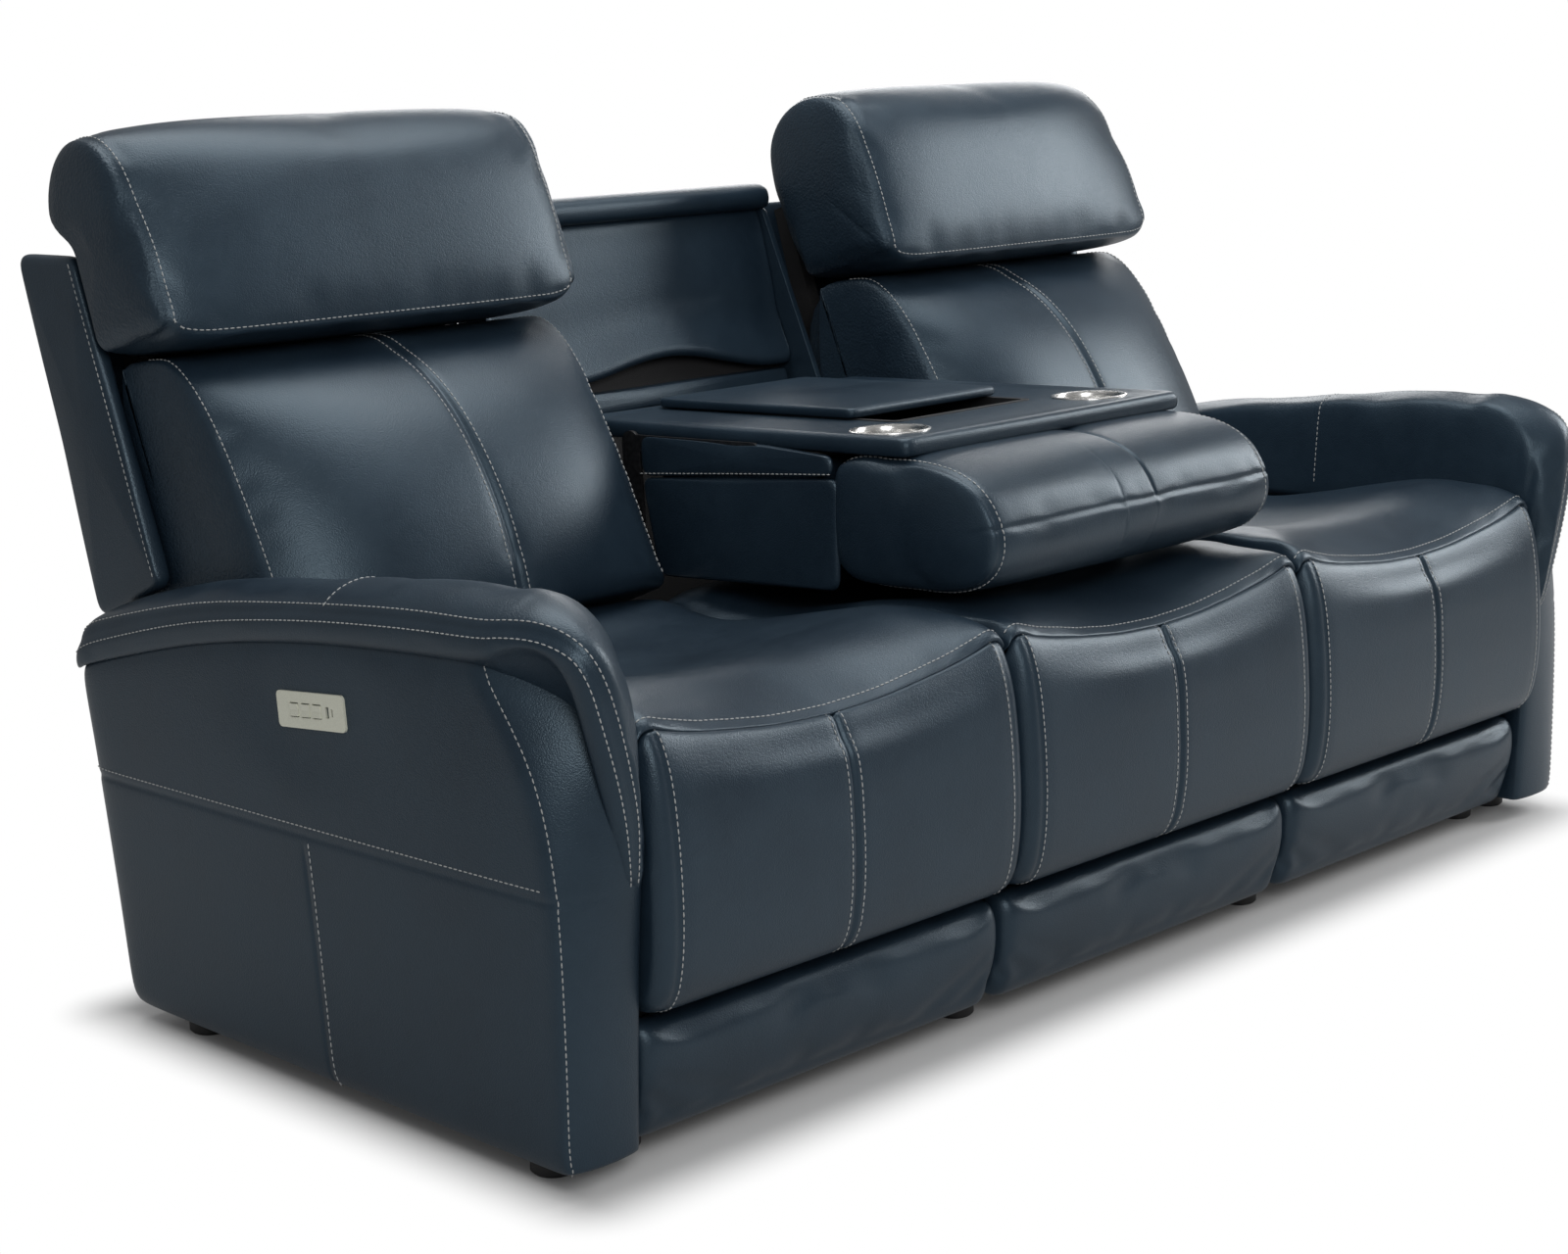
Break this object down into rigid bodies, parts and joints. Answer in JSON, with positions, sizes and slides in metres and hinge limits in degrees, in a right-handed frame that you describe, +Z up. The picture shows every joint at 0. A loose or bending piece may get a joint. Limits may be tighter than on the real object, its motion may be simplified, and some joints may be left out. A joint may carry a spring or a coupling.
{
  "type": "power reclining sofa",
  "caption": "Leather power reclining sofa: footrests, backs and headrests tilt by motor, and the middle back folds down into a table with cup holders and a lidded bin.",
  "frame": {"origin": "on the floor under the middle of the outline", "axes": "+X to the right of a person facing the sofa, -Y to the front where the legs go, +Z up"},
  "size_m": [2.0712, 1.1038, 1.0989],
  "materials": {
    "navy_leather": "semi-gloss, fine grain",
    "board": "unfinished plywood",
    "steel": "satin",
    "black_steel": "satin",
    "bright_steel": "brushed",
    "silver_trim": "satin silver paint",
    "black_plastic": "fine texture"
  },
  "bodies": {
    "frame": {"base_rails": "board", "feet": "black_plastic", "arm_frames": "board", "left_arm_cover": "navy_leather", "right_arm_cover": "navy_leather", "left_arm_pad": "navy_leather", "right_arm_pad": "navy_leather", "left_control_plate": "silver_trim", "right_control_plate": "silver_trim", "left_seat_cushion": "navy_leather", "middle_seat_cushion": "navy_leather", "right_seat_cushion": "navy_leather", "seat_decks": "board", "mechanism_plates": "steel", "seat_motors": "black_steel", "middle_front_pads": "navy_leather", "console_back_panel": "navy_leather", "console_cheeks": "navy_leather", "console_top_rail": "navy_leather", "rear_skirts": "navy_leather", "table_pivots": "steel"},
    "left_footrest": {"left_footrest_pad": "navy_leather", "left_footrest_panel": "navy_leather", "left_footrest_board": "board"},
    "left_crank": {"left_drive_crank": "steel"},
    "left_links": {"left_connecting_links": "steel"},
    "left_footrest_slider": {"left_footrest_drive": "black_plastic"},
    "left_recline_slider": {"left_recline_drive": "black_plastic"},
    "left_back": {"left_back_shell": "navy_leather", "left_back_frame": "board", "left_back_cushion": "navy_leather", "left_headrest_motor": "black_steel"},
    "left_headrest": {"left_headrest_bracket": "steel", "left_headrest_cushion": "navy_leather"},
    "left_headrest_key": {"left_headrest_switch": "silver_trim"},
    "left_recline_key": {"left_recline_switch": "silver_trim"},
    "left_footrest_key": {"left_footrest_switch": "silver_trim"},
    "right_footrest": {"right_footrest_pad": "navy_leather", "right_footrest_panel": "navy_leather", "right_footrest_board": "board"},
    "right_crank": {"right_drive_crank": "steel"},
    "right_links": {"right_connecting_links": "steel"},
    "right_footrest_slider": {"right_footrest_drive": "black_plastic"},
    "right_recline_slider": {"right_recline_drive": "black_plastic"},
    "right_back": {"right_back_shell": "navy_leather", "right_back_frame": "board", "right_back_cushion": "navy_leather", "right_headrest_motor": "black_steel"},
    "right_headrest": {"right_headrest_bracket": "steel", "right_headrest_cushion": "navy_leather"},
    "right_headrest_key": {"right_headrest_switch": "silver_trim"},
    "right_recline_key": {"right_recline_switch": "silver_trim"},
    "right_footrest_key": {"right_footrest_switch": "silver_trim"},
    "table": {"table_cradle": "steel", "table_tray": "navy_leather", "table_cushion": "navy_leather", "table_bolster": "navy_leather", "cup_holders": "bright_steel", "storage_bin": "black_plastic"},
    "lid": {"storage_lid": "navy_leather"}
  },
  "joints": [
    {"name": "left_footrest_knee", "type": "hinge", "parent": "frame", "child": "left_footrest", "pos_m": [-0.614, -0.5283, 0.398], "axis": [-1, 0, 0], "range_deg": [0, 78]},
    {"name": "left_crank_turn", "type": "hinge", "parent": "frame", "child": "left_crank", "pos_m": [-0.614, -0.3423, 0.275], "axis": [-1, 0, 0], "range_deg": [0, 78]},
    {"name": "left_link_turn", "type": "hinge", "parent": "left_crank", "child": "left_links", "pos_m": [-0.614, -0.2543, 0.137], "axis": [-1, 0, 0], "range_deg": [-78, 0]},
    {"name": "left_footrest_screw", "type": "slide", "parent": "frame", "child": "left_footrest_slider", "axis": [0, -1, 0], "range_m": [0, 0.0883]},
    {"name": "left_back_recline", "type": "hinge", "parent": "frame", "child": "left_back", "pos_m": [-0.614, 0.2977, 0.37], "axis": [-1, 0, 0], "range_deg": [0, 38]},
    {"name": "left_recline_screw", "type": "slide", "parent": "frame", "child": "left_recline_slider", "axis": [0, -1, 0], "range_m": [0, 0.04945]},
    {"name": "left_headrest_tilt", "type": "hinge", "parent": "left_back", "child": "left_headrest", "pos_m": [-0.614, 0.28632, 0.87963], "axis": [1, 0, 0], "range_deg": [0, 35]},
    {"name": "left_headrest_press", "type": "hinge", "parent": "frame", "child": "left_headrest_key", "pos_m": [-1.026, -0.1063, 0.473], "axis": [0, 0.9945, -0.1045], "range_deg": [-5, 5], "stiffness_Nm_per_rad": 0.1},
    {"name": "left_recline_press", "type": "hinge", "parent": "frame", "child": "left_recline_key", "pos_m": [-1.026, -0.1063, 0.473], "axis": [0, 0.9945, -0.1045], "range_deg": [-5, 5], "stiffness_Nm_per_rad": 0.1},
    {"name": "left_footrest_press", "type": "hinge", "parent": "frame", "child": "left_footrest_key", "pos_m": [-1.026, -0.1063, 0.473], "axis": [0, 0.9945, -0.1045], "range_deg": [-5, 5], "stiffness_Nm_per_rad": 0.1},
    {"name": "right_footrest_knee", "type": "hinge", "parent": "frame", "child": "right_footrest", "pos_m": [0.614, -0.5283, 0.398], "axis": [-1, 0, 0], "range_deg": [0, 78]},
    {"name": "right_crank_turn", "type": "hinge", "parent": "frame", "child": "right_crank", "pos_m": [0.614, -0.3423, 0.275], "axis": [-1, 0, 0], "range_deg": [0, 78]},
    {"name": "right_link_turn", "type": "hinge", "parent": "right_crank", "child": "right_links", "pos_m": [0.614, -0.2543, 0.137], "axis": [-1, 0, 0], "range_deg": [-78, 0]},
    {"name": "right_footrest_screw", "type": "slide", "parent": "frame", "child": "right_footrest_slider", "axis": [0, -1, 0], "range_m": [0, 0.0883]},
    {"name": "right_back_recline", "type": "hinge", "parent": "frame", "child": "right_back", "pos_m": [0.614, 0.2977, 0.37], "axis": [-1, 0, 0], "range_deg": [0, 38]},
    {"name": "right_recline_screw", "type": "slide", "parent": "frame", "child": "right_recline_slider", "axis": [0, -1, 0], "range_m": [0, 0.04945]},
    {"name": "right_headrest_tilt", "type": "hinge", "parent": "right_back", "child": "right_headrest", "pos_m": [0.614, 0.28632, 0.87963], "axis": [1, 0, 0], "range_deg": [0, 35]},
    {"name": "right_headrest_press", "type": "hinge", "parent": "frame", "child": "right_headrest_key", "pos_m": [1.026, -0.1063, 0.473], "axis": [0, 0.9945, -0.1045], "range_deg": [-5, 5], "stiffness_Nm_per_rad": 0.1},
    {"name": "right_recline_press", "type": "hinge", "parent": "frame", "child": "right_recline_key", "pos_m": [1.026, -0.1063, 0.473], "axis": [0, 0.9945, -0.1045], "range_deg": [-5, 5], "stiffness_Nm_per_rad": 0.1},
    {"name": "right_footrest_press", "type": "hinge", "parent": "frame", "child": "right_footrest_key", "pos_m": [1.026, -0.1063, 0.473], "axis": [0, 0.9945, -0.1045], "range_deg": [-5, 5], "stiffness_Nm_per_rad": 0.1},
    {"name": "table_fold", "type": "hinge", "parent": "frame", "child": "table", "pos_m": [0, 0.1507, 0.56], "axis": [-1, 0, 0], "range_deg": [0, 102]},
    {"name": "lid_turn", "type": "hinge", "parent": "table", "child": "lid", "pos_m": [0, 0.26739, 0.69161], "axis": [1, 0, 0], "range_deg": [-95, 0]}
  ],
  "couplings": [
    {"joint": "left_crank_turn", "follows": "left_footrest_knee", "ratio": 1},
    {"joint": "left_link_turn", "follows": "left_footrest_knee", "ratio": -1},
    {"joint": "left_footrest_screw", "follows": "left_footrest_knee", "m_per_rad": 0.064718},
    {"joint": "left_recline_screw", "follows": "left_back_recline", "m_per_rad": 0.074263},
    {"joint": "right_crank_turn", "follows": "right_footrest_knee", "ratio": 1},
    {"joint": "right_link_turn", "follows": "right_footrest_knee", "ratio": -1},
    {"joint": "right_footrest_screw", "follows": "right_footrest_knee", "m_per_rad": 0.064718},
    {"joint": "right_recline_screw", "follows": "right_back_recline", "m_per_rad": 0.074263}
  ]
}
